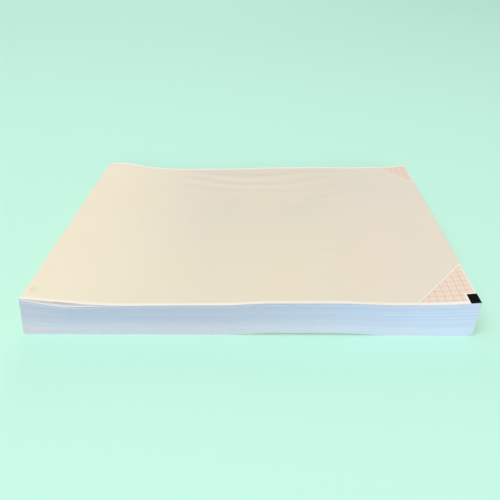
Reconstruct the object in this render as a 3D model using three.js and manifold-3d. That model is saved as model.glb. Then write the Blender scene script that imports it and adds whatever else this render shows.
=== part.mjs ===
// A pack of chart paper: one web of thermal paper, folded back and forth into leaves of one length.
// Millimetres, +Z up. X runs along a leaf from the left folds to the right folds, and Y runs across
// the web from its front cut edge to its back one. The origin is under the middle of the pack.

import * as THREE from 'three';
import { mergeVertices } from 'three/addons/utils/BufferGeometryUtils.js';
import Module from 'manifold-3d';

// The web: the length of a leaf between its folds, its width and its paper
const LEAF_LENGTH = 280;
const WEB_WIDTH = 215;
const LEAF_COUNT = 300;
const PAPER_THICKNESS = 0.06;

// Air between neighbouring leaves. The creases hold the leaves apart at both ends of the pack
const LEFT_FOLD_GAP = 0.0286;
const TROUGH_GAP = 0.0117;
const MIDDLE_GAP = 0.017;
const SHOULDER_GAP = 0.0203;
const RIGHT_FOLD_GAP = 0.0267;

// Where those gaps lie: a trough beside the left folds and a shoulder beside the right ones
const TROUGH_INSET = 31;
const MIDDLE_OFFSET = 35;
const SHOULDER_INSET = 25;

// The pack bows up off the table between its trough and its shoulder
const BOW_HEIGHT = 1.6;

// Its top lies this much further to the right than its bottom
const PACK_LEAN = 1;

// The leader, which is the top leaf: it turns over loosely and comes down on the pack further in
const LOOP_GAP = 1.2;
const LIFT_REACH = 67;
const LIFT_START_SLOPE = -0.11;
const LIFT_HANDLE = 30;
const LIFT_STEPS = 12;
const LOOP_STEPS = 6;

// The two corners trimmed off the leader's free end, along the leaf and across it
const FRONT_TRIM_ALONG = 39;
const FRONT_TRIM_ACROSS = 43;
const BACK_TRIM_ALONG = 27;
const BACK_TRIM_ACROSS = 41;

// Room by which a cutter passes the paper that it cuts
const CUTTER_MARGIN = 2;

const PAPER_COLOUR = 0xf1e8d4;
const PAPER_ROUGHNESS = 0.75;

// How the leaves lie along X, from the left folds to the right ones
const LEFT_END = { x: -LEAF_LENGTH / 2, gap: LEFT_FOLD_GAP, rise: 0 };
const TROUGH = { x: -LEAF_LENGTH / 2 + TROUGH_INSET, gap: TROUGH_GAP, rise: 0 };
const MIDDLE = { x: MIDDLE_OFFSET, gap: MIDDLE_GAP, rise: BOW_HEIGHT };
const SHOULDER = { x: LEAF_LENGTH / 2 - SHOULDER_INSET, gap: SHOULDER_GAP, rise: 0 };
const RIGHT_END = { x: LEAF_LENGTH / 2, gap: RIGHT_FOLD_GAP, rise: 0 };
const STATIONS = [LEFT_END, TROUGH, MIDDLE, SHOULDER, RIGHT_END];

const LEADER = LEAF_COUNT - 1;

// Height of a leaf's underside at a station, with the leaves counted up from the table
function stackHeight(leaf, station) {
  return station.rise + leaf * (PAPER_THICKNESS + station.gap);
}

// Where a station lies on a leaf: the pack leans evenly from its lowest leaf to its leader
function stationX(leaf, station) {
  return station.x + PACK_LEAN * (leaf / LEADER - 0.5);
}

// Height and slope of the stack under the leader at an x
function stackUnderLeader(x) {
  const index = Math.max(STATIONS.findIndex((station) => stationX(LEADER, station) >= x), 1);
  const [left, right] = [STATIONS[index - 1], STATIONS[index]];
  const leftHeight = stackHeight(LEADER, left);
  const slope = (stackHeight(LEADER, right) - leftHeight) / (right.x - left.x);
  return { height: leftHeight + slope * (x - stationX(LEADER, left)), slope };
}

// The leader's underside where it is lifted, from the loop at the left to where it touches down
function liftedStops() {
  const startX = stationX(LEADER, LEFT_END);
  const touchdownX = startX + LIFT_REACH;
  const touchdown = stackUnderLeader(touchdownX);
  const start = new THREE.Vector2(startX, stackHeight(LEADER, LEFT_END) + LOOP_GAP);
  const end = new THREE.Vector2(touchdownX, touchdown.height);
  const startHandle = new THREE.Vector2(LIFT_HANDLE, LIFT_HANDLE * LIFT_START_SLOPE).add(start);
  const endHandle = new THREE.Vector2(-LIFT_HANDLE, -LIFT_HANDLE * touchdown.slope).add(end);
  return new THREE.CubicBezierCurve(start, startHandle, endHandle, end).getPoints(LIFT_STEPS);
}

// The points of a leaf's underside, from its left end to its right end
function leafStops(leaf) {
  const stops = STATIONS.map(
    (station) => new THREE.Vector2(stationX(leaf, station), stackHeight(leaf, station)),
  );
  if (leaf < LEADER) return stops;
  const lifted = liftedStops();
  const touchdownX = lifted[lifted.length - 1].x;
  return [...lifted, ...stops.filter((stop) => stop.x > touchdownX)];
}

// A leaf runs left on its way up the web when the leaf above it is creased to its left end
function runsLeft(leaf) {
  return (LEADER - leaf) % 2 === 1;
}

// One face of a leaf without its two ends, in the order in which the web is walked
function faceBetweenFolds(leaf, under) {
  const lift = under ? 0 : PAPER_THICKNESS;
  const face = leafStops(leaf).slice(1, -1).map((stop) => new THREE.Vector2(stop.x, stop.y + lift));
  return runsLeft(leaf) ? face.reverse() : face;
}

// A half turn about a centre on the left side of a loop, from below to above
function halfTurn(centre, radius) {
  const points = [];
  for (let step = 0; step <= LOOP_STEPS; step += 1) {
    const angle = -Math.PI / 2 - (Math.PI * step) / LOOP_STEPS;
    const spoke = new THREE.Vector2(radius * Math.cos(angle), radius * Math.sin(angle));
    points.push(spoke.add(centre));
  }
  return points;
}

// The loose turn between the leader and the leaf under it: its outer face or its inner one
function leaderLoop(outer) {
  const innerRadius = (LOOP_GAP + LEFT_END.gap) / 2;
  const outerRadius = innerRadius + PAPER_THICKNESS;
  const lowerTop = stackHeight(LEADER - 1, LEFT_END) + PAPER_THICKNESS;
  const centre = new THREE.Vector2(stationX(LEADER, LEFT_END) + outerRadius, lowerTop + innerRadius);
  return halfTurn(centre, outer ? outerRadius : innerRadius);
}

// The sharp crease between a leaf and the one above it: a flat outer face, or one inner point
function creasePoints(leaf, outer) {
  if (leaf === LEADER - 1) return leaderLoop(outer);
  const end = runsLeft(leaf) ? LEFT_END : RIGHT_END;
  const lower = stackHeight(leaf, end);
  const upper = stackHeight(leaf + 1, end) + PAPER_THICKNESS;
  const x = stationX(leaf, end);
  if (outer) return [new THREE.Vector2(x, lower), new THREE.Vector2(x, upper)];
  return [new THREE.Vector2(x - Math.sign(x) * PAPER_THICKNESS, (lower + upper) / 2)];
}

// The corner of a free end of the web, on the leaf's underside or its top
function freeEnd(leaf, atRight, under) {
  const end = atRight ? RIGHT_END : LEFT_END;
  const lift = under ? 0 : PAPER_THICKNESS;
  return new THREE.Vector2(stationX(leaf, end), stackHeight(leaf, end) + lift);
}

// One side of the web, walked from its bottom end up to the leader's free end
function webSide(startsUnder) {
  const points = [freeEnd(0, runsLeft(0), startsUnder)];
  let under = startsUnder;
  for (let leaf = 0; leaf < LEADER; leaf += 1) {
    points.push(...faceBetweenFolds(leaf, under), ...creasePoints(leaf, under));
    under = !under;
  }
  points.push(...faceBetweenFolds(LEADER, under), freeEnd(LEADER, true, under));
  return points;
}

// A solid of constant section: an outline in XZ, extruded along Y between two places
function extrudeAlongY(outline, fromY, toY) {
  const shape = new THREE.Shape(outline);
  const geometry = new THREE.ExtrudeGeometry(shape, { depth: toY - fromY, bevelEnabled: false });
  geometry.rotateX(Math.PI / 2);
  geometry.translate(0, toY, 0);
  return geometry;
}

// The whole folded web with square corners
function foldedWeb() {
  const outline = [...webSide(true), ...webSide(false).reverse()];
  return extrudeAlongY(outline, -WEB_WIDTH / 2, WEB_WIDTH / 2);
}

// Everything above the middle of the air under the leader's right-hand stretch
function spaceAtLeader() {
  const seam = [MIDDLE, SHOULDER, RIGHT_END].map((station) => {
    const height = stackHeight(LEADER, station) - station.gap / 2;
    return new THREE.Vector2(stationX(LEADER, station), height);
  });
  const last = seam[seam.length - 1];
  const roof = seam[0].y + seam[2].y;
  const outline = [
    ...seam,
    new THREE.Vector2(last.x + CUTTER_MARGIN, last.y),
    new THREE.Vector2(last.x + CUTTER_MARGIN, roof),
    new THREE.Vector2(seam[0].x, roof),
  ];
  return extrudeAlongY(outline, -WEB_WIDTH / 2 - CUTTER_MARGIN, WEB_WIDTH / 2 + CUTTER_MARGIN);
}

// An upright prism over one trimmed corner. Side is -1 at the front edge and 1 at the back edge
function cornerPrism(side, along, across) {
  const cornerX = stationX(LEADER, RIGHT_END);
  const cornerY = (side * WEB_WIDTH) / 2;
  const outX = cornerX + CUTTER_MARGIN;
  const outY = cornerY + side * CUTTER_MARGIN;
  const slope = along / across;
  const shape = new THREE.Shape([
    new THREE.Vector2(cornerX - along - CUTTER_MARGIN * slope, outY),
    new THREE.Vector2(outX, outY),
    new THREE.Vector2(outX, cornerY - side * (across + CUTTER_MARGIN / slope)),
  ]);
  const height = 2 * stackHeight(LEAF_COUNT, RIGHT_END);
  return new THREE.ExtrudeGeometry(shape, { depth: height, bevelEnabled: false });
}

const manifoldLibrary = await Module();
manifoldLibrary.setup();

function toSolid(geometry) {
  geometry.deleteAttribute('normal');
  geometry.deleteAttribute('uv');
  const merged = mergeVertices(geometry);
  const mesh = new manifoldLibrary.Mesh({
    numProp: 3,
    vertProperties: new Float32Array(merged.attributes.position.array),
    triVerts: new Uint32Array(merged.index.array),
  });
  return new manifoldLibrary.Manifold(mesh);
}

function toGeometry(solid) {
  const mesh = solid.getMesh();
  const geometry = new THREE.BufferGeometry();
  geometry.setAttribute('position', new THREE.BufferAttribute(mesh.vertProperties, 3));
  geometry.setIndex(new THREE.BufferAttribute(mesh.triVerts, 1));
  geometry.computeVertexNormals();
  return geometry;
}

// The folded web with the leader's two free corners trimmed
function trimmedWeb() {
  const frontCorner = toSolid(cornerPrism(-1, FRONT_TRIM_ALONG, FRONT_TRIM_ACROSS));
  const backCorner = toSolid(cornerPrism(1, BACK_TRIM_ALONG, BACK_TRIM_ACROSS));
  const cutter = toSolid(spaceAtLeader()).intersect(frontCorner.add(backCorner));
  return toGeometry(toSolid(foldedWeb()).subtract(cutter));
}

const paper = new THREE.MeshStandardMaterial({
  color: PAPER_COLOUR,
  roughness: PAPER_ROUGHNESS,
  metalness: 0,
});
const web = new THREE.Mesh(trimmedWeb(), paper);
web.name = 'fanfold_web';

const chartPaper = new THREE.Group();
chartPaper.add(web);

export default chartPaper;
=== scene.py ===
# A fan-folded pack of chart paper on a plain pale floor, seen from the front and a little above.

import math
import random
from collections import namedtuple
from functools import cache

import bpy
from mathutils import Matrix, Vector, noise


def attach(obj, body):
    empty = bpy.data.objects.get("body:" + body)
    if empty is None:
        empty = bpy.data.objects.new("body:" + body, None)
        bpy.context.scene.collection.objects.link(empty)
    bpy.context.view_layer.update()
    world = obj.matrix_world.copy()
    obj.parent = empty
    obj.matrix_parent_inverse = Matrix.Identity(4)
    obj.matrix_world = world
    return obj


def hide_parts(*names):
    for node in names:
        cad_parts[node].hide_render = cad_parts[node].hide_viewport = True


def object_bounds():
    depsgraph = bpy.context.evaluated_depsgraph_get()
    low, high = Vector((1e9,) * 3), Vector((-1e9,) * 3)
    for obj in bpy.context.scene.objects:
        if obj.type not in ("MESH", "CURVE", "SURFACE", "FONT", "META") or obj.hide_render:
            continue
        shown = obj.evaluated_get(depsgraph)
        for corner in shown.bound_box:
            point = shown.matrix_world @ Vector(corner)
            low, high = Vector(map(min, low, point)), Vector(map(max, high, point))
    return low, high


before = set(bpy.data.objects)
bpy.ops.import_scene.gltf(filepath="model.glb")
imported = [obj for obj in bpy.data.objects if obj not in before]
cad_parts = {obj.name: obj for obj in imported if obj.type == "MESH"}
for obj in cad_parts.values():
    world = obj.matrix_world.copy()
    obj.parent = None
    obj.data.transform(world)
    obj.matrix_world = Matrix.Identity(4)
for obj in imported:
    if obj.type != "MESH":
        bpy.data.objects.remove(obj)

NODE = "fanfold_web"
cad_low, cad_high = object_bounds()

MM = 0.001

# The photograph's camera: its frame, focal length and optical centre in pixels, and where it stands
PHOTO_SIZE = 500
PHOTO_FOCAL = 524.1
PHOTO_CENTRE_X = 268.4
CAMERA_PLACE = Vector((11.0, -360.3, 219.1)) * MM
CAMERA_PITCH = math.radians(31.71)
CAMERA_ROLL = math.radians(0.23)
SENSOR_WIDTH = 36.0
CLIP_START = 10 * MM

# The web, as in the solid
LEAF_LENGTH = 280 * MM
LEAF_COUNT = 300
PAPER_THICKNESS = 0.06 * MM
PACK_LEAN = 1.0 * MM
WEB_WIDTH = cad_high.y - cad_low.y
LEADER = LEAF_COUNT - 1
HALF_LENGTH = LEAF_LENGTH / 2
HALF_WIDTH = WEB_WIDTH / 2

# How the leaves lie along the front edge and the back one: places along the leaf, the air under
# each leaf there, and the slope of the pack's top there
TROUGH_X = -HALF_LENGTH + 31 * MM
MIDDLE_X = 35 * MM
SHOULDER_X = HALF_LENGTH - 25 * MM
Station = namedtuple("Station", "x gap slope")
LEFT_END = Station(-HALF_LENGTH, 0.0286 * MM, -0.20)
RIGHT_END = Station(HALF_LENGTH, 0.0267 * MM, 0.11)
FRONT_STATIONS = (
    LEFT_END,
    Station(TROUGH_X, 0.0117 * MM, 0.01),
    Station(-75 * MM, 0.0150 * MM, 0.012),
    Station(-20 * MM, 0.0170 * MM, 0.004),
    Station(MIDDLE_X, 0.0172 * MM, 0.004),
    Station(SHOULDER_X, 0.0205 * MM, 0.02),
    RIGHT_END,
)
BACK_STATIONS = (
    LEFT_END,
    Station(TROUGH_X, 0.0107 * MM, 0.006),
    Station(-62 * MM, 0.0100 * MM, 0.002),
    Station(-17 * MM, 0.0108 * MM, 0.012),
    Station(MIDDLE_X, 0.0140 * MM, 0.014),
    Station(SHOULDER_X, 0.0192 * MM, 0.024),
    RIGHT_END,
)

# The pack bows off the table between two places, with a soft start and end, and less at its back
BOW_HEIGHT = 1.6 * MM
BOW_SHARE_AT_BACK = 0.35
BOW_START = (-18 * MM, 14 * MM)
BOW_END = (52 * MM, 92 * MM)

# Each leaf lies a little off its place, by an offset that keeps this share of the last one's
WANDER_KEPT = 0.8

# The lowest leaves draw in at the right folds, this far and up to this height
FOOT_INSET = 3.0 * MM
FOOT_HEIGHT = 2.6 * MM

# The left folds spread outwards by this much from the top of the pack to its bottom, where they
# draw in by a share of what the right ones do
LEFT_SPREAD = 2.4 * MM
LEFT_FOOT_SHARE = 0.4

# The leader: its loose turn, how far in it comes down on the pack, and its slope as it leaves the turn
LOOP_GAP = 1.2 * MM
LIFT_REACH = 67 * MM
LIFT_START_SLOPE = -0.10

# Its back corner at the turn is pinched down, with a low crown beside it
PINCH_DEPTH = 1.3 * MM
PINCH_REACH = (9 * MM, 14 * MM)
CROWN_HEIGHT = 0.9 * MM
CROWN_X = -122 * MM
CROWN_LENGTH = 11 * MM
CROWN_WIDTH = 60 * MM

# Its waves: where each group of them lies, how far it reaches, how high it is and its wavelength
Waves = namedtuple("Waves", "x y reach_x reach_y height length")
BACK_WAVES = Waves(-8 * MM, 80 * MM, 70 * MM, 24 * MM, 1.0 * MM, 17 * MM)
MIDDLE_WAVES = Waves(55 * MM, 42 * MM, 42 * MM, 12 * MM, 0.3 * MM, 15 * MM)
FRONT_WAVES = Waves(55 * MM, -55 * MM, 34 * MM, 22 * MM, 0.2 * MM, 17 * MM)

# The crests of the back waves bend about a place along the leaf, and those of each group are skewed
BACK_WAVE_BEND = 1.6
BACK_WAVE_MIDDLE = -10 * MM
BACK_WAVE_SKEW = 0.06
MIDDLE_WAVE_SKEW = -0.12
FRONT_WAVE_SKEW = 0.35
BACK_WAVE_SHARPNESS = 1.5

# Slow noise shifts the crests of the waves by up to this phase, and swells the leader between them
CREST_SHIFT = 4.0
CREST_SHIFT_LENGTHS = (65 * MM, 50 * MM)
SWELL_HEIGHT = 0.3 * MM
SWELL_LENGTHS = (70 * MM, 55 * MM)
SWELL_LEVEL = 3.1

# Its waves start around the place where it comes down, and end near its free end
WAVES_START_PAST_TOUCH = (-20 * MM, 25 * MM)
WAVES_END = (118 * MM, 138 * MM)

# Its trimmed corners, along the leaf and across it, and where its rows start to draw in for them
FRONT_TRIM = (39 * MM, 43 * MM)
BACK_TRIM = (27 * MM, 41 * MM)
TRIM_START_X = 60 * MM

# Print: the grid's margins and pitch, and the sensing mark with the bare border round it
EDGE_MARGIN = 3.0 * MM
FOLD_MARGIN = 1.3 * MM
MARGIN_SOFTNESS = 0.15 * MM
GRID_MAJOR = 5.0 * MM
GRID_MINOR = 1.0 * MM
GRID_FIRST_LINE = 4.0 * MM
MARK_LENGTH = 6.4 * MM
MARK_WIDTH = 9.6 * MM
MARK_BORDER = 1.2 * MM
MARK_SOFTNESS = 0.1 * MM

# Widths and strengths of the grid's lines, on the printed side and where they show through
MINOR_LINE = 0.14 * MM
MAJOR_LINE = 0.34 * MM
MINOR_STRENGTH = 0.55
MAJOR_STRENGTH_FRONT = 0.6
MAJOR_STRENGTH_BACK = 0.4
SHOWN_MINOR_LINE = 0.2 * MM
SHOWN_MAJOR_LINE = 0.5 * MM
SHOWN_MINOR_STRENGTH = 0.05
SHOWN_MAJOR_STRENGTH = 0.07

# The faint perforation along the folds
PERFORATION_REACH = 0.45 * MM
PERFORATION_SOFTNESS = 0.1 * MM
PERFORATION_PITCH = 1.4 * MM
PERFORATION_SLOT = 0.7 * MM
PERFORATION_STRENGTH = 0.1

# The leader is barer in a soft band along its edges and its trimmed corners
EDGE_BAND = (1.2 * MM, EDGE_MARGIN + 0.6 * MM)
EDGE_BAND_STRENGTH = 0.7
TRIM_BAND = (0.6 * MM, 1.3 * MM)
FRONT_TRIM_STRENGTH = 0.8
BACK_TRIM_STRENGTH = 0.4

# A small soft greyer spot on the leader near its loose turn
GREY_SPOT_PLACE = (-134.5 * MM, -97.0 * MM)
GREY_SPOT_REACH = (3.4 * MM, 4.2 * MM)
GREY_SPOT_STRENGTH = 0.18

# Where painted light and shade change the leader's colour along X and Y, and where painted light
# whitens the printed side along X
WARM_LIGHT_X = (-140 * MM, -20 * MM)
COOL_LIGHT_X = (0.0, 130 * MM)
COOL_LIGHT_STRENGTH = 0.7
LIGHT_FALLOFF_Y = (-110 * MM, 90 * MM)
PRINT_LIGHT_X = (-100 * MM, 50 * MM)

# Noise in the materials: its scale per metre or its stretch over the pack, the range of it that
# shows and how strongly that shows
MOTTLE_SCALE = 16.0
MOTTLE_RANGE = (0.35, 0.7)
MOTTLE_STRENGTH = 0.35
# The cut edges' bands and lines below are painted shade
CUT_BAND_STRETCH = (0.8, 16.0, 1.0)
CUT_BAND_RANGE = (0.35, 0.65)
CUT_BAND_STRENGTH = 0.3
CUT_LINE_STRETCH = (0.6, 70.0, 3.0)
CUT_LINE_RANGE = (0.52, 0.7)
CUT_LINE_STRENGTH = 0.35
TOOTH_SCALE = 900.0
TOOTH_SHARE = 0.35
UNEVENNESS_SCALE = 90.0
BUMP_DEPTH = 0.05 * MM
SPECKLE_SCALE = 1500.0

# Where the cut edges' painted light changes along the pack, and up it from the lighter lower part to
# the upper part's painted shade, in shares of it
CUT_LIGHT_ALONG = (0.3, 1.05)
CUT_SHADE_UP = (0.05, 0.7)
LOW_CUT_LIGHT_STRENGTH = 0.8

# How a line's edge fades, in shares of its width from its middle
LINE_FADE = (0.35, 0.65)

# The floor, just under the pack, and the light. The camera sees a brighter world than the one that
# lights the pack
FLOOR_HALF_SIZE = 6.0
FLOOR_DROP = 0.05 * MM
WORLD_STRENGTH = 0.5
WORLD_STRENGTH_SEEN = 1.0
Lamp = namedtuple("Lamp", "name place size power")
LAMPS = (
    Lamp("overhead", (-1.2, -1.0, 3.2), 2.4, 38.0),
    Lamp("front", (0.3, -3.4, 1.6), 1.6, 66.0),
    Lamp("back", (-0.6, 3.4, 1.5), 2.0, 16.0),
)

PLAIN, PRINTED, CUT, MARK = range(4)


def smooth(value, start, end):
    """0 before start, 1 after end and a soft step between them."""
    t = min(max((value - start) / (end - start), 0.0), 1.0)
    return t * t * (3 - 2 * t)


def hermite(t, span, from_value, from_slope, to_value, to_slope):
    """A cubic between two values with the given slopes."""
    return (
        (2 * t ** 3 - 3 * t ** 2 + 1) * from_value
        + (t ** 3 - 2 * t ** 2 + t) * span * from_slope
        + (3 * t ** 2 - 2 * t ** 3) * to_value
        + (t ** 3 - t ** 2) * span * to_slope
    )


@cache
def pitch_along(stations, x):
    """Height that one leaf and the air under it take up at x, along one edge of the web."""
    x = min(max(x, stations[0].x), stations[-1].x)
    right = next(i for i in range(1, len(stations)) if x <= stations[i].x)
    a, b = stations[right - 1], stations[right]
    span = b.x - a.x
    return hermite(
        (x - a.x) / span, span,
        PAPER_THICKNESS + a.gap, a.slope / LEAF_COUNT,
        PAPER_THICKNESS + b.gap, b.slope / LEAF_COUNT,
    )


def leaf_pitch(x, y=0.0):
    """Height that one leaf and the air under it take up."""
    back = y / WEB_WIDTH + 0.5
    return (1 - back) * pitch_along(FRONT_STATIONS, x) + back * pitch_along(BACK_STATIONS, x)


def bow(x, y):
    """How far the pack stands off the table."""
    share = 1 + (BOW_SHARE_AT_BACK - 1) * (y + HALF_WIDTH) / WEB_WIDTH
    return share * BOW_HEIGHT * smooth(x, *BOW_START) * (1 - smooth(x, *BOW_END))


def stack_height(leaf, x, y):
    """Height of the middle of a leaf's paper."""
    return bow(x, y) + leaf * leaf_pitch(x, y) + PAPER_THICKNESS / 2


def wandering(seed, leaf_step, batch_step, batch_size):
    """A small offset for each leaf: a slow wander, with a jump from batch to batch of leaves."""
    draw = random.Random(seed)
    offsets = []
    wander = 0.0
    batch = 0.0
    left_in_batch = 0
    for _ in range(LEAF_COUNT):
        if left_in_batch == 0:
            batch = draw.uniform(-batch_step, batch_step)
            left_in_batch = draw.randint(batch_size // 2, batch_size * 3 // 2)
        left_in_batch -= 1
        wander = WANDER_KEPT * wander + draw.uniform(-leaf_step, leaf_step)
        offsets.append(wander + batch)
    return offsets


LEAF_SHIFT_X = wandering(seed=11, leaf_step=0.05 * MM, batch_step=0.12 * MM, batch_size=24)
LEAF_SHIFT_Y = wandering(seed=5, leaf_step=0.04 * MM, batch_step=0.10 * MM, batch_size=22)


def runs_left(leaf):
    """A leaf runs left on its way up the web when the leaf above it is creased to its left end."""
    return (LEADER - leaf) % 2 == 1


def foot_inset(leaf):
    """How far a low leaf's right fold draws in."""
    share = leaf * leaf_pitch(HALF_LENGTH) / FOOT_HEIGHT
    if share >= 1:
        return 0.0
    return FOOT_INSET * (1 - math.sqrt(1 - (1 - share) ** 2))


def lean(leaf):
    """How far a leaf lies to the right of the pack's middle."""
    return PACK_LEAN * (leaf / LEADER - 0.5)


def leaf_left(leaf):
    """A leaf's left end."""
    spread = LEFT_SPREAD * (1 - leaf / LEADER) - LEFT_FOOT_SHARE * foot_inset(leaf)
    return -HALF_LENGTH + lean(leaf) + LEAF_SHIFT_X[leaf] - spread


def leaf_right(leaf):
    """A leaf's right end."""
    return HALF_LENGTH + lean(leaf) + LEAF_SHIFT_X[leaf] - foot_inset(leaf)


def fold_left(leaf):
    """The left end of the fold that a leaf shares with its neighbour there."""
    lower = leaf if runs_left(leaf) else max(leaf - 1, 0)
    return leaf_left(lower)


def fold_right(leaf):
    """The right end of the fold that a leaf shares with its neighbour there."""
    lower = max(leaf - 1, 0) if runs_left(leaf) else leaf
    return leaf_right(lower)


def wave_height(group, x, y, along, phase=0.0, sharpness=1.0):
    """Height of one group of waves, whose crests follow each other in the along direction."""
    spread = math.exp(-((x - group.x) / group.reach_x) ** 2 - ((y - group.y) / group.reach_y) ** 2)
    wave = 0.5 + 0.5 * math.sin(2 * math.pi * along / group.length + phase)
    return group.height * spread * wave ** sharpness


def slow_noise(x, y, lengths, level=0.0):
    """Smooth noise about 0 that changes over the two lengths, from one level of a solid noise."""
    return noise.noise(Vector((x / lengths[0], y / lengths[1], level)))


def cockle(x, y):
    """Low waves in the leader: long bent ones across the back, and fainter ones to the right."""
    bend = BACK_WAVE_BEND * (x - BACK_WAVE_MIDDLE) ** 2
    shift = CREST_SHIFT * slow_noise(x, y, CREST_SHIFT_LENGTHS)
    along = y - bend + BACK_WAVE_SKEW * x
    back = wave_height(BACK_WAVES, x, y, along, phase=shift, sharpness=BACK_WAVE_SHARPNESS)
    middle = wave_height(MIDDLE_WAVES, x, y, y + MIDDLE_WAVE_SKEW * x, phase=shift)
    front = wave_height(FRONT_WAVES, x, y, y + FRONT_WAVE_SKEW * x)
    swell = 0.5 + 0.5 * slow_noise(x, y, SWELL_LENGTHS, SWELL_LEVEL)
    return back + middle + front + SWELL_HEIGHT * swell


def lifted_height(x, y, start_x, touch_x):
    """Height of the leader between its loose turn and the place where it comes down."""
    touch_height = stack_height(LEADER, touch_x, y)
    slope = (stack_height(LEADER, touch_x + MM, y) - touch_height) / MM
    lifted = hermite(
        (x - start_x) / LIFT_REACH, LIFT_REACH,
        stack_height(LEADER, start_x, y) + LOOP_GAP, LIFT_START_SLOPE,
        touch_height, slope,
    )
    behind = smooth(y, HALF_WIDTH - CROWN_WIDTH, HALF_WIDTH)
    crown = CROWN_HEIGHT * behind * math.exp(-((x - CROWN_X) / CROWN_LENGTH) ** 2)
    at_corner = smooth(y, HALF_WIDTH - PINCH_REACH[1], HALF_WIDTH)
    at_turn = 1 - smooth(x, start_x, start_x + PINCH_REACH[0])
    return lifted + crown - PINCH_DEPTH * at_corner * at_turn


def leader_height(x, y):
    """Height of the middle of the leader's paper, lifted at the left and waved further in."""
    start_x = fold_left(LEADER)
    touch_x = start_x + LIFT_REACH
    height = stack_height(LEADER, x, y)
    if x < touch_x:
        height = max(height, lifted_height(x, y, start_x, touch_x))
    past_touch = smooth(x - touch_x, *WAVES_START_PAST_TOUCH)
    return height + cockle(x, y) * past_touch * (1 - smooth(x, *WAVES_END))


def leader_right(y):
    """The leader's free end, drawn in along the two trimmed corners."""
    right = leaf_right(LEADER)
    front = (y + HALF_WIDTH) / FRONT_TRIM[1]
    back = (HALF_WIDTH - y) / BACK_TRIM[1]
    return right - FRONT_TRIM[0] * max(1 - front, 0) - BACK_TRIM[0] * max(1 - back, 0)


def leaf_centre(leaf, x, y):
    """A point of a leaf's middle surface. X is where it would be on an untrimmed leaf."""
    if leaf < LEADER:
        return Vector((x, y, stack_height(leaf, x, y)))
    if x > TRIM_START_X:
        share = (x - TRIM_START_X) / (leaf_right(LEADER) - TRIM_START_X)
        x = TRIM_START_X + share * (leader_right(y) - TRIM_START_X)
    return Vector((x, y, leader_height(x, y)))


def steps(start, end, count):
    """Both ends of a stretch and even places between them."""
    return [start + (end - start) * i / count for i in range(count + 1)]


# Where a plain leaf has its rows, closer together where the pack's shape turns
LEAF_ROWS = [
    *steps(-135 * MM, -95 * MM, 10),
    *steps(-85 * MM, -25 * MM, 4),
    *steps(-15 * MM, 15 * MM, 4),
    *steps(35 * MM, 95 * MM, 6),
    *steps(103 * MM, 135 * MM, 6),
]
FINE_ROW_STEP = 2.4 * MM
FINE_ACROSS_STEP = 2.6 * MM
MARK_STEPS = 3
CREASE_ANGLES = [45, 90, 135]
LOOP_ANGLES = [20, 40, 60, 80, 100, 120, 140, 160]


def across_places(leaf):
    """Places across the web: its two edges, and many between them on the leaves that show."""
    if leaf < LEADER - 1:
        return [-HALF_WIDTH, HALF_WIDTH]
    breaks = [
        -HALF_WIDTH,
        -HALF_WIDTH + MARK_WIDTH,
        -HALF_WIDTH + FRONT_TRIM[1],
        HALF_WIDTH - BACK_TRIM[1],
        HALF_WIDTH,
    ]
    places = []
    for start, end in zip(breaks, breaks[1:]):
        count = max(round((end - start) / FINE_ACROSS_STEP), 1)
        places += steps(start, end, count)[:-1]
    return places + [HALF_WIDTH]


def row_places(leaf, left, right):
    """Places along a leaf, from its left end to its right end."""
    if leaf < LEADER - 1:
        return [left, *LEAF_ROWS, right]
    if leaf == LEADER:
        return steps(left, right, round((right - left) / FINE_ROW_STEP))
    mark_start = fold_right(leaf) - MARK_LENGTH
    return [
        *steps(left, mark_start, round((mark_start - left) / FINE_ROW_STEP)),
        *steps(mark_start, right, MARK_STEPS)[1:],
    ]


Row = namedtuple("Row", "leaf places centres normals")


def leaf_row(leaf, x):
    """A row of points across a leaf, with the direction that its plain side faces."""
    up = -1.0 if runs_left(leaf) else 1.0
    shift = LEAF_SHIFT_Y[leaf]
    places = across_places(leaf)
    centres = [leaf_centre(leaf, x, y) + Vector((0, shift, 0)) for y in places]
    return Row(leaf, places, centres, [Vector((0, 0, up))] * len(places))


def crease_rows(lower_row, upper_row, at_left, angles):
    """Rows round the half turn between a leaf's last row and the first row of the leaf above."""
    side = -1.0 if at_left else 1.0
    rows = []
    for angle in angles:
        a = math.radians(angle)
        centres = []
        normals = []
        for low, high in zip(lower_row.centres, upper_row.centres):
            middle = (low + high) / 2
            radius = (high.z - low.z) / 2
            out = Vector((side * math.sin(a), 0, -math.cos(a)))
            centres.append(middle + out * radius)
            normals.append(out if at_left else -out)
        rows.append(Row(lower_row.leaf, lower_row.places, centres, normals))
    return rows


def turn_inset(leaf, at_left):
    """How far in from a fold's outer face a leaf ends and its half turn starts."""
    if leaf >= LEADER - 1 and at_left:
        return (LOOP_GAP + leaf_pitch(-HALF_LENGTH) + PAPER_THICKNESS) / 2
    x = -HALF_LENGTH if at_left else HALF_LENGTH
    return (leaf_pitch(x) + PAPER_THICKNESS) / 2


def rows_of_leaf(leaf):
    """All of a leaf's rows, in the order in which the web is walked."""
    left = fold_left(leaf)
    right = fold_right(leaf)
    if leaf > 0 or runs_left(leaf):
        left += turn_inset(leaf, at_left=True)
    if leaf < LEADER and (leaf > 0 or not runs_left(leaf)):
        right -= turn_inset(leaf, at_left=False)
    rows = [leaf_row(leaf, x) for x in row_places(leaf, left, right)]
    return rows[::-1] if runs_left(leaf) else rows


def coarse_row(row):
    """The same row with its two edge points only."""
    ends = (0, -1)
    return Row(
        row.leaf,
        [row.places[i] for i in ends],
        [row.centres[i] for i in ends],
        [row.normals[i] for i in ends],
    )


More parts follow.
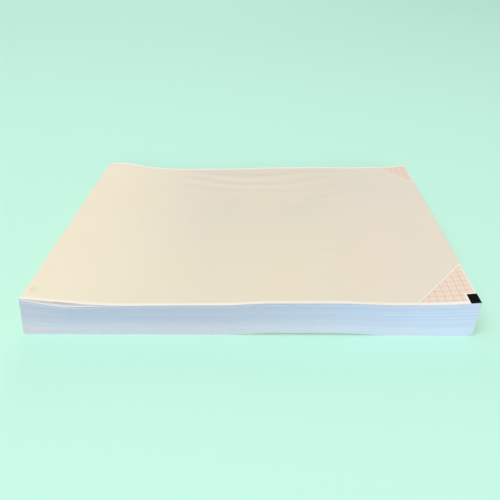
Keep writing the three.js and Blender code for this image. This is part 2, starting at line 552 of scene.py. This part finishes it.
def web_rows():
    """The whole web as rows, from its lowest end up to the leader's free end."""
    rows = rows_of_leaf(0)
    for leaf in range(1, LEAF_COUNT):
        upper = rows_of_leaf(leaf)
        at_left = runs_left(leaf - 1)
        angles = LOOP_ANGLES if leaf == LEADER else CREASE_ANGLES
        first = upper[0]
        if len(first.places) != len(rows[-1].places):
            first = coarse_row(first)
        rows += crease_rows(rows[-1], first, at_left, angles)
        rows += upper
    return rows


class WebMesh:
    """Vertices and faces of the web, with a material and a place on the leaf for each face."""

    def __init__(self):
        self.vertices = []
        self.faces = []
        self.materials = []
        self.leaves = []

    def add_row(self, row):
        """Adds a row's points on both sides of the paper and returns the plain and printed ones."""
        half = PAPER_THICKNESS / 2
        first = len(self.vertices)
        count = len(row.centres)
        self.vertices += [c + n * half for c, n in zip(row.centres, row.normals)]
        self.vertices += [c - n * half for c, n in zip(row.centres, row.normals)]
        return range(first, first + count), range(first + count, first + 2 * count)

    def add_face(self, corners, material, leaf):
        """Adds a face with its material and the leaf that it belongs to."""
        self.faces.append(corners)
        self.materials.append(material)
        self.leaves.append(leaf)

    def join_side(self, near, far, material, leaf, flip):
        """Faces between the same side of two rows. Rows of unlike length are joined by one face."""
        if len(near) != len(far):
            strips = [[near[0], *far, *reversed(near[1:])]]
        else:
            strips = [[near[i], far[i], far[i + 1], near[i + 1]] for i in range(len(near) - 1)]
        for corners in strips:
            self.add_face(corners[::-1] if flip else corners, material, leaf)

    def join_rows(self, leaf, near, far):
        """Faces all round the paper between two rows, given as their plain and printed points."""
        self.join_side(near[0], far[0], PLAIN, leaf, flip=False)
        self.join_side(near[1], far[1], PRINTED, leaf, flip=True)
        self.add_face([near[1][0], far[1][0], far[0][0], near[0][0]], CUT, leaf)
        self.add_face([near[0][-1], far[0][-1], far[1][-1], near[1][-1]], CUT, leaf)

    def close_end(self, plain, printed, leaf, flip):
        """Faces across a free end of the web."""
        for i in range(len(plain) - 1):
            corners = [printed[i], plain[i], plain[i + 1], printed[i + 1]]
            self.add_face(corners[::-1] if flip else corners, CUT, leaf)


def is_mark(data, face):
    """Whether a printed face lies in the sensing mark at the front right corner."""
    right = fold_right(LEADER - 1)
    front = -HALF_WIDTH + LEAF_SHIFT_Y[LEADER - 1]
    centre = sum((data.vertices[i] for i in face), Vector()) / len(face)
    return centre.x > right - MARK_LENGTH and centre.y < front + MARK_WIDTH


def folded_web():
    """The folded web's vertices and faces, closed all round."""
    data = WebMesh()
    rows = web_rows()
    sides = [data.add_row(row) for row in rows]
    data.close_end(*sides[0], rows[0].leaf, flip=False)
    for row, near, far in zip(rows[1:], sides, sides[1:]):
        data.join_rows(row.leaf, near, far)
    data.close_end(*sides[-1], rows[-1].leaf, flip=True)
    for i, face in enumerate(data.faces):
        if data.leaves[i] == LEADER - 1 and data.materials[i] == PRINTED and is_mark(data, face):
            data.materials[i] = MARK
    return data


def add_object(name, data):
    """A new object in the scene."""
    added = bpy.data.objects.new(name, data)
    bpy.context.scene.collection.objects.link(added)
    return added


def build_web():
    """The folded web as one object."""
    data = folded_web()
    mesh = bpy.data.meshes.new("chart_paper")
    mesh.from_pydata([tuple(v) for v in data.vertices], [], data.faces)
    mesh.polygons.foreach_set("material_index", data.materials)
    add_leaf_coordinates(mesh, data)
    mesh.validate()
    smooth_paper_sides(mesh)
    return add_object("chart_paper", mesh)


def add_leaf_coordinates(mesh, data):
    """UV: place along the leaf, and the leaf's place in the pack, both from 0 to 1."""
    layer = mesh.uv_layers.new(name="leaf")
    values = []
    for face, leaf in zip(data.faces, data.leaves):
        for i in face:
            values += [data.vertices[i].x / LEAF_LENGTH + 0.5, (leaf + 0.5) / LEAF_COUNT]
    layer.data.foreach_set("uv", values)


SHARP_ANGLE = math.radians(50)


def smooth_paper_sides(mesh):
    """Smooth shading on the paper's sides, with the cut edges kept sharp."""
    for polygon in mesh.polygons:
        polygon.use_smooth = polygon.material_index != CUT
    mesh.set_sharp_from_angle(angle=SHARP_ANGLE)


# A Mix node's colour sockets, which share their names with its other ones
MIX_A = 6
MIX_B = 7
MIX_RESULT = 2


class Nodes:
    """Short calls for a material's node tree."""

    def __init__(self, name):
        self.material = bpy.data.materials.new(name)
        self.material.use_nodes = True
        self.tree = self.material.node_tree
        self.shader = self.tree.nodes["Principled BSDF"]
        self.position = self.tree.nodes.new("ShaderNodeTexCoord").outputs["Object"]

    def link(self, value, socket):
        """Links an output to a socket, or sets the socket to a plain value."""
        if isinstance(value, bpy.types.NodeSocket):
            self.tree.links.new(value, socket)
        else:
            socket.default_value = value

    def math(self, operation, a, b=0.0):
        node = self.tree.nodes.new("ShaderNodeMath")
        node.operation = operation
        self.link(a, node.inputs[0])
        self.link(b, node.inputs[1])
        return node.outputs[0]

    def axes(self, vector):
        node = self.tree.nodes.new("ShaderNodeSeparateXYZ")
        self.link(vector, node.inputs[0])
        return node.outputs

    def scaled(self, vector, scale):
        node = self.tree.nodes.new("ShaderNodeMapping")
        self.link(vector, node.inputs["Vector"])
        node.inputs["Scale"].default_value = scale
        return node.outputs[0]

    def noise(self, vector, scale, detail=2.0, roughness=0.5):
        node = self.tree.nodes.new("ShaderNodeTexNoise")
        self.link(vector, node.inputs["Vector"])
        node.inputs["Scale"].default_value = scale
        node.inputs["Detail"].default_value = detail
        node.inputs["Roughness"].default_value = roughness
        return node.outputs["Fac"]

    def ramp(self, value, from_low, from_high, to_low=0.0, to_high=1.0):
        """A soft step from one value to another."""
        node = self.tree.nodes.new("ShaderNodeMapRange")
        node.interpolation_type = "SMOOTHSTEP"
        self.link(value, node.inputs["Value"])
        node.inputs["From Min"].default_value = from_low
        node.inputs["From Max"].default_value = from_high
        node.inputs["To Min"].default_value = to_low
        node.inputs["To Max"].default_value = to_high
        return node.outputs[0]

    def blend(self, share, a, b):
        """Colour a where the share is 0, colour b where it is 1."""
        node = self.tree.nodes.new("ShaderNodeMix")
        node.data_type = "RGBA"
        self.link(share, node.inputs["Factor"])
        self.link(a, node.inputs[MIX_A])
        self.link(b, node.inputs[MIX_B])
        return node.outputs[MIX_RESULT]

    def bump(self, height, strength, distance):
        node = self.tree.nodes.new("ShaderNodeBump")
        node.inputs["Strength"].default_value = strength
        node.inputs["Distance"].default_value = distance
        self.link(height, node.inputs["Height"])
        self.link(node.outputs[0], self.shader.inputs["Normal"])

    def finish(self, colour, roughness, specular=0.25):
        self.link(colour, self.shader.inputs["Base Color"])
        self.shader.inputs["Roughness"].default_value = roughness
        self.shader.inputs["Specular IOR Level"].default_value = specular
        return self.material


def srgb(red, green, blue):
    """A colour given as the 0 to 255 values of a picture, as a linear colour with alpha."""
    def linear(value):
        value /= 255
        return value / 12.92 if value <= 0.04045 else ((value + 0.055) / 1.055) ** 2.4
    return (linear(red), linear(green), linear(blue), 1.0)


# The leader's plain back, and what is seen on it. Its far, near, cool and warm colours are painted
# light and shade: brighter and warmer at the left, cooler at the right and darker towards the back
BACK_SHADED_FAR = srgb(226, 219, 202)
BACK_LIT_NEAR = srgb(234, 226, 203)
BACK_COOL_LIGHT = srgb(233, 224, 211)
BACK_WARM_LIGHT = srgb(246, 236, 211)
BACK_PATCH = srgb(240, 226, 200)
BACK_BARE = srgb(252, 248, 238)
SHOWN_LINE = srgb(196, 168, 150)
GREY_SPOT_COLOUR = srgb(186, 182, 162)
SLOT_SHADE = srgb(170, 160, 140)

# The printed side's ground, margins and lines. Painted light whitens the ground and margins towards
# the left, so they are warmer at the right, and painted shade darkens them towards the back
GROUND_LIT_LEFT = srgb(255, 249, 244)
GROUND_FRONT = srgb(245, 228, 208)
GROUND_SHADED_BACK = srgb(237, 222, 205)
MARGIN_LIT_LEFT = srgb(252, 253, 255)
MARGIN_FRONT = srgb(249, 243, 233)
MARGIN_SHADED_BACK = srgb(242, 235, 224)
MINOR_PINK = srgb(232, 180, 152)
MAJOR_PINK = srgb(196, 146, 124)

# The cut edges in the pack's upper and lower part, with their bands, and the sensing mark. The cut
# edges' colours are painted light and shade: a cool cast, painted shade in the upper part, lighter and
# bluer towards the right, with bands and lines of painted shade
CUT_LIT_LEFT = srgb(157, 184, 205)
CUT_LIT_RIGHT = srgb(179, 218, 253)
LOW_CUT_LIT_LEFT = srgb(200, 212, 222)
LOW_CUT_LIT_RIGHT = srgb(191, 230, 255)
CUT_BAND_SHADE = srgb(146, 174, 200)
CUT_LINE_SHADE = srgb(138, 164, 192)
MARK_BLACK = srgb(2, 2, 2)
MARK_WORN = srgb(12, 11, 11)

# The floor's own colour, and the mint one that only the camera sees
FLOOR_PLAIN = srgb(232, 232, 230)
FLOOR_SEEN = srgb(200, 250, 230)


def line_mask(nodes, place, origin, pitch, width):
    """1 on lines that repeat with a pitch along one axis, 0 between them."""
    turns = nodes.math("DIVIDE", nodes.math("SUBTRACT", place, origin), pitch)
    phase = nodes.math("ABSOLUTE", nodes.math("SUBTRACT", nodes.math("FRACT", turns), 0.5))
    distance = nodes.math("MULTIPLY", nodes.math("SUBTRACT", 0.5, phase), pitch)
    return nodes.ramp(distance, width * LINE_FADE[0], width * LINE_FADE[1], 1.0, 0.0)


def grid_mask(nodes, pitch, width):
    """1 on the lines of a square grid that starts at the right folds and near the front edge."""
    x, y, _ = nodes.axes(nodes.position)
    along = line_mask(nodes, x, fold_right(LEADER - 1), pitch, width)
    across = line_mask(nodes, y, -HALF_WIDTH + GRID_FIRST_LINE, pitch, width)
    return nodes.math("MAXIMUM", along, across)


def past(nodes, distance, border, softness):
    """0 up to a border and 1 past it, with a soft step between them."""
    return nodes.ramp(distance, border - softness, border + softness)


def distance_to_edge(nodes, y):
    """Distance to the nearer of the web's two edges."""
    return nodes.math("SUBTRACT", HALF_WIDTH, nodes.math("ABSOLUTE", y))


def inside_margins(nodes):
    """1 on the gridded field, 0 on the bare margins along the web's edges and folds."""
    x, y, _ = nodes.axes(nodes.position)
    to_left = nodes.math("SUBTRACT", x, fold_left(LEADER))
    to_right = nodes.math("SUBTRACT", fold_right(LEADER - 1), x)
    to_fold = nodes.math("MINIMUM", to_left, to_right)
    past_edge = past(nodes, distance_to_edge(nodes, y), EDGE_MARGIN, MARGIN_SOFTNESS)
    past_fold = past(nodes, to_fold, FOLD_MARGIN, MARGIN_SOFTNESS)
    return nodes.math("MULTIPLY", past_edge, past_fold)


def near_grey_spot(nodes):
    """1 in the middle of the leader's greyer spot, fading to 0 around it."""
    x, y, _ = nodes.axes(nodes.position)
    along = nodes.math("DIVIDE", nodes.math("SUBTRACT", x, GREY_SPOT_PLACE[0]), GREY_SPOT_REACH[0])
    across = nodes.math("DIVIDE", nodes.math("SUBTRACT", y, GREY_SPOT_PLACE[1]), GREY_SPOT_REACH[1])
    along_squared = nodes.math("MULTIPLY", along, along)
    squares = nodes.math("ADD", along_squared, nodes.math("MULTIPLY", across, across))
    return nodes.ramp(squares, 0.0, 1.0, 1.0, 0.0)


def near_trims(nodes):
    """How bare a narrow band is along the leader's trimmed corners, and 0 away from them."""
    x, y, _ = nodes.axes(nodes.position)
    to_end = nodes.math("SUBTRACT", leaf_right(LEADER), x)
    bands = []
    corners = ((-1, FRONT_TRIM, FRONT_TRIM_STRENGTH), (1, BACK_TRIM, BACK_TRIM_STRENGTH))
    for side, (along, across), strength in corners:
        to_edge = nodes.math("SUBTRACT", HALF_WIDTH, nodes.math("MULTIPLY", y, side))
        share_along = nodes.math("DIVIDE", to_end, along)
        shares = nodes.math("ADD", share_along, nodes.math("DIVIDE", to_edge, across))
        reach = along * across / math.hypot(along, across)
        distance = nodes.math("MULTIPLY", nodes.math("SUBTRACT", shares, 1.0), reach)
        bands.append(nodes.ramp(distance, *TRIM_BAND, strength, 0.0))
    return nodes.math("MAXIMUM", *bands)


def outside_mark_border(nodes):
    """0 on the sensing mark and its bare border, 1 elsewhere."""
    x, y, _ = nodes.axes(nodes.position)
    to_fold = nodes.math("SUBTRACT", fold_right(LEADER - 1), x)
    to_edge = nodes.math("ADD", y, HALF_WIDTH)
    past_x = past(nodes, to_fold, MARK_LENGTH + MARK_BORDER, MARK_SOFTNESS)
    past_y = past(nodes, to_edge, MARK_WIDTH + MARK_BORDER, MARK_SOFTNESS)
    return nodes.math("MAXIMUM", past_x, past_y)


def paper_bump(nodes, strength):
    """The paper's fine tooth, with a softer unevenness under it."""
    tooth = nodes.noise(nodes.position, TOOTH_SCALE, detail=4.0, roughness=0.6)
    unevenness = nodes.noise(nodes.position, UNEVENNESS_SCALE)
    height = nodes.math("ADD", nodes.math("MULTIPLY", tooth, TOOTH_SHARE), unevenness)
    nodes.bump(height, strength, BUMP_DEPTH)


def perforation(nodes, colour):
    """Darkens the slots of the fine perforation along each fold."""
    x, y, _ = nodes.axes(nodes.position)
    start = HALF_LENGTH - PERFORATION_REACH
    at_fold = past(nodes, nodes.math("ABSOLUTE", x), start, PERFORATION_SOFTNESS)
    slots = line_mask(nodes, y, 0.0, PERFORATION_PITCH, PERFORATION_SLOT)
    share = nodes.math("MULTIPLY", nodes.math("MULTIPLY", at_fold, slots), PERFORATION_STRENGTH)
    return nodes.blend(share, colour, SLOT_SHADE)


def lit_back_tone(nodes):
    """The plain back's tone, with painted light and shade: brighter and warmer at the left, cooler at
    the right and darker towards the back. Its patches are the paper's own.
    """
    x, y, _ = nodes.axes(nodes.position)
    middle = nodes.blend(nodes.ramp(y, *LIGHT_FALLOFF_Y, 1.0, 0.0), BACK_SHADED_FAR, BACK_LIT_NEAR)
    light_cooled = nodes.blend(nodes.ramp(x, *COOL_LIGHT_X, 0.0, COOL_LIGHT_STRENGTH), middle, BACK_COOL_LIGHT)
    body = nodes.blend(nodes.ramp(x, *WARM_LIGHT_X, 1.0, 0.0), light_cooled, BACK_WARM_LIGHT)
    mottle = nodes.noise(nodes.position, MOTTLE_SCALE, detail=3.0, roughness=0.55)
    return nodes.blend(nodes.ramp(mottle, *MOTTLE_RANGE, 0.0, MOTTLE_STRENGTH), body, BACK_PATCH)


def grid_shown(nodes):
    """How strongly the printed side's grid shows through."""
    major = grid_mask(nodes, GRID_MAJOR, SHOWN_MAJOR_LINE)
    minor = grid_mask(nodes, GRID_MINOR, SHOWN_MINOR_LINE)
    strong = nodes.math("MULTIPLY", major, SHOWN_MAJOR_STRENGTH)
    weak = nodes.math("MULTIPLY", minor, SHOWN_MINOR_STRENGTH)
    return nodes.math("MULTIPLY", nodes.math("MAXIMUM", strong, weak), inside_margins(nodes))


def bare_bands(nodes):
    """How bare the plain back is along the web's edges and the leader's trimmed corners."""
    _, y, _ = nodes.axes(nodes.position)
    along_edge = nodes.ramp(distance_to_edge(nodes, y), *EDGE_BAND, EDGE_BAND_STRENGTH, 0.0)
    return nodes.math("MAXIMUM", along_edge, near_trims(nodes))


def plain_material():
    """The web's unprinted side, with the grid showing faintly through it."""
    nodes = Nodes("plain_back")
    gridded = nodes.blend(grid_shown(nodes), lit_back_tone(nodes), SHOWN_LINE)
    banded = nodes.blend(bare_bands(nodes), gridded, BACK_BARE)
    grey_spot = nodes.math("MULTIPLY", near_grey_spot(nodes), GREY_SPOT_STRENGTH)
    spotted = nodes.blend(grey_spot, banded, GREY_SPOT_COLOUR)
    paper_bump(nodes, 0.25)
    return nodes.finish(perforation(nodes, spotted), roughness=0.7)


def printed_material():
    """The web's printed side: a pink grid in millimetres on white paper with bare margins."""
    nodes = Nodes("printed_face")
    field = nodes.math("MULTIPLY", inside_margins(nodes), outside_mark_border(nodes))
    x, y, _ = nodes.axes(nodes.position)
    # Painted light whitens the ground and margins towards the left, and painted shade darkens them
    # towards the back
    to_back = nodes.ramp(y, -HALF_WIDTH, HALF_WIDTH)
    to_right = nodes.ramp(x, *PRINT_LIGHT_X)
    ground = nodes.blend(to_right, GROUND_LIT_LEFT, nodes.blend(to_back, GROUND_FRONT, GROUND_SHADED_BACK))
    margin = nodes.blend(to_right, MARGIN_LIT_LEFT, nodes.blend(to_back, MARGIN_FRONT, MARGIN_SHADED_BACK))
    unlined = nodes.blend(field, margin, ground)
    minor = nodes.math("MULTIPLY", grid_mask(nodes, GRID_MINOR, MINOR_LINE), field)
    major = nodes.math("MULTIPLY", grid_mask(nodes, GRID_MAJOR, MAJOR_LINE), field)
    fine = nodes.blend(nodes.math("MULTIPLY", minor, MINOR_STRENGTH), unlined, MINOR_PINK)
    strength = nodes.ramp(y, -HALF_WIDTH, HALF_WIDTH, MAJOR_STRENGTH_FRONT, MAJOR_STRENGTH_BACK)
    lined = nodes.blend(nodes.math("MULTIPLY", major, strength), fine, MAJOR_PINK)
    paper_bump(nodes, 0.15)
    return nodes.finish(perforation(nodes, lined), roughness=0.55)


def cut_material():
    """The leaves' cut edges, coloured with painted light and shade: a cool cast, painted shade in the
    upper part, lighter towards the right, and bands and lines of painted shade from batch to batch of
    leaves, where their ledges would catch and lose the light.
    """
    nodes = Nodes("cut_edge")
    uv = nodes.tree.nodes.new("ShaderNodeUVMap")
    uv.uv_map = "leaf"
    place = uv.outputs[0]
    along, up, _ = nodes.axes(place)
    # Painted shade darkens the upper part, and painted light lightens the right and the lower part
    to_right = nodes.ramp(along, *CUT_LIGHT_ALONG)
    upper = nodes.blend(to_right, CUT_LIT_LEFT, CUT_LIT_RIGHT)
    lower = nodes.blend(to_right, LOW_CUT_LIT_LEFT, LOW_CUT_LIT_RIGHT)
    tone = nodes.blend(nodes.ramp(up, *CUT_SHADE_UP, LOW_CUT_LIGHT_STRENGTH, 0.0), upper, lower)
    bands = nodes.noise(nodes.scaled(place, CUT_BAND_STRETCH), 1.0, detail=1.0)
    lines = nodes.noise(nodes.scaled(place, CUT_LINE_STRETCH), 1.0, roughness=0.6)
    band_share = nodes.ramp(bands, *CUT_BAND_RANGE, 0.0, CUT_BAND_STRENGTH)
    line_share = nodes.ramp(lines, *CUT_LINE_RANGE, 0.0, CUT_LINE_STRENGTH)
    lined = nodes.blend(line_share, nodes.blend(band_share, tone, CUT_BAND_SHADE), CUT_LINE_SHADE)
    return nodes.finish(lined, roughness=0.8)


def mark_material():
    """The sensing mark: flat black print with a slight speckle."""
    nodes = Nodes("sensing_mark")
    speckle = nodes.noise(nodes.position, SPECKLE_SCALE)
    return nodes.finish(nodes.blend(speckle, MARK_BLACK, MARK_WORN), roughness=0.7, specular=0.08)


def add_web():
    """The web with its materials, in the order of PLAIN, PRINTED, CUT and MARK."""
    web = build_web()
    for material in (plain_material(), printed_material(), cut_material(), mark_material()):
        web.data.materials.append(material)
    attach(web, "root")
    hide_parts(NODE)


def add_camera():
    """A camera that stands and looks as the photograph's did."""
    camera = add_object("camera", bpy.data.cameras.new("camera"))
    camera.data.sensor_width = SENSOR_WIDTH
    camera.data.lens = PHOTO_FOCAL / PHOTO_SIZE * SENSOR_WIDTH
    camera.data.shift_x = (PHOTO_SIZE / 2 - PHOTO_CENTRE_X) / PHOTO_SIZE
    camera.data.clip_start = CLIP_START
    tilt = Matrix.Rotation(math.pi / 2 - CAMERA_PITCH, 4, "X")
    roll = Matrix.Rotation(CAMERA_ROLL, 4, "Z")
    camera.matrix_world = Matrix.Translation(CAMERA_PLACE) @ tilt @ roll
    bpy.context.scene.camera = camera


def floor_material():
    """A plain pale floor, which only the camera sees with a mint tint."""
    nodes = Nodes("floor")
    path = nodes.tree.nodes.new("ShaderNodeLightPath")
    colour = nodes.blend(path.outputs["Is Camera Ray"], FLOOR_PLAIN, FLOOR_SEEN)
    return nodes.finish(colour, roughness=0.9)


def add_floor():
    """A wide square floor just under the pack."""
    side = FLOOR_HALF_SIZE
    corners = [(-side, -side), (side, -side), (side, side), (-side, side)]
    mesh = bpy.data.meshes.new("floor")
    mesh.from_pydata([(x, y, cad_low.z - FLOOR_DROP) for x, y in corners], [], [(0, 1, 2, 3)])
    mesh.materials.append(floor_material())
    floor = add_object("floor", mesh)


def add_lamp(lamp):
    """A round white lamp that faces the pack."""
    light = bpy.data.lights.new(lamp.name, "AREA")
    light.shape = "DISK"
    light.size = lamp.size
    light.energy = lamp.power
    added = add_object(lamp.name, light)
    added.location = lamp.place
    added.rotation_euler = (-Vector(lamp.place)).to_track_quat("-Z", "Y").to_euler()


def add_world():
    """An even white surround, which the camera sees as plain white."""
    world = bpy.data.worlds.new("studio")
    bpy.context.scene.world = world
    world.use_nodes = True
    tree = world.node_tree
    background = tree.nodes["Background"]
    background.inputs["Color"].default_value = (1.0, 1.0, 1.0, 1.0)
    seen = tree.nodes.new("ShaderNodeMapRange")
    seen.inputs["To Min"].default_value = WORLD_STRENGTH
    seen.inputs["To Max"].default_value = WORLD_STRENGTH_SEEN
    path = tree.nodes.new("ShaderNodeLightPath")
    tree.links.new(path.outputs["Is Camera Ray"], seen.inputs["Value"])
    tree.links.new(seen.outputs[0], background.inputs["Strength"])


add_camera()
add_web()
add_floor()
add_world()
for lamp in LAMPS:
    add_lamp(lamp)
bpy.context.scene.view_settings.view_transform = "Standard"
